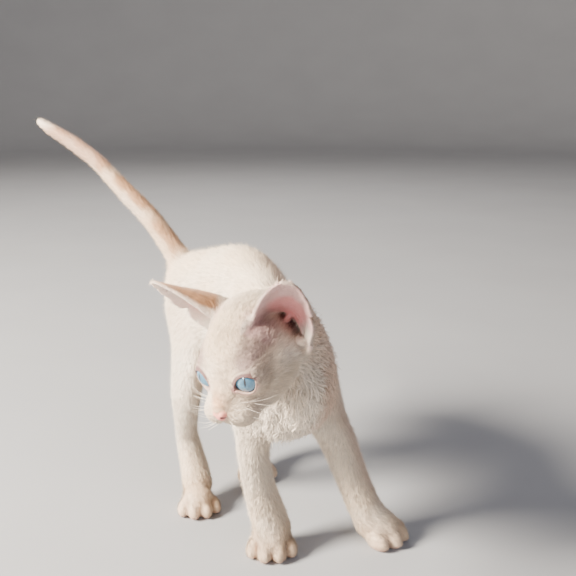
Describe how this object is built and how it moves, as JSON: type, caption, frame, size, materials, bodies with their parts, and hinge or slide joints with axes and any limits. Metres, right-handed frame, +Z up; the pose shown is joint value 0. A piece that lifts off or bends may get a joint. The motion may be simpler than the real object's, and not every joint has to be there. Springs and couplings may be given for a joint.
{
  "type": "devon rex kitten",
  "caption": "Short-coated kitten with very large wide ears, standing still on all fours, head turned to its right and lowered, slim tail raised behind; a life-size still model",
  "frame": {"origin": "middle of the bounding box's base, on the floor between the four paws", "axes": "+Z is up, -Y is the way the kitten's body faces, +X is its left side, so the tail ends at +Y"},
  "size_m": [0.1416, 0.3088, 0.2218],
  "materials": {
    "coat": "short soft wavy cream fur",
    "tail_coat": "short soft fur, cream below and apricot above and at the tip",
    "ear": "thin pink skin inside, fine beige down outside, cream fringe at the rim",
    "nose": "moist pink skin",
    "eye": "wet, clear, pale blue iris with a narrow dark upright pupil"
  },
  "bodies": {
    "root": {"belly": "coat", "chest": "coat", "ear_left": "ear", "ear_right": "ear", "eye_left": "eye", "eye_right": "eye", "fore_left_lower": "coat", "fore_left_paw": "coat", "fore_left_upper": "coat", "fore_right_lower": "coat", "fore_right_paw": "coat", "fore_right_upper": "coat", "head": "coat", "hind_left_lower": "coat", "hind_left_paw": "coat", "hind_left_upper": "coat", "hind_right_lower": "coat", "hind_right_paw": "coat", "hind_right_upper": "coat", "neck": "coat", "nose": "nose", "rump": "coat", "tail_1": "tail_coat", "tail_2": "tail_coat", "tail_3": "tail_coat", "tail_4": "tail_coat"}
  },
  "joints": []
}
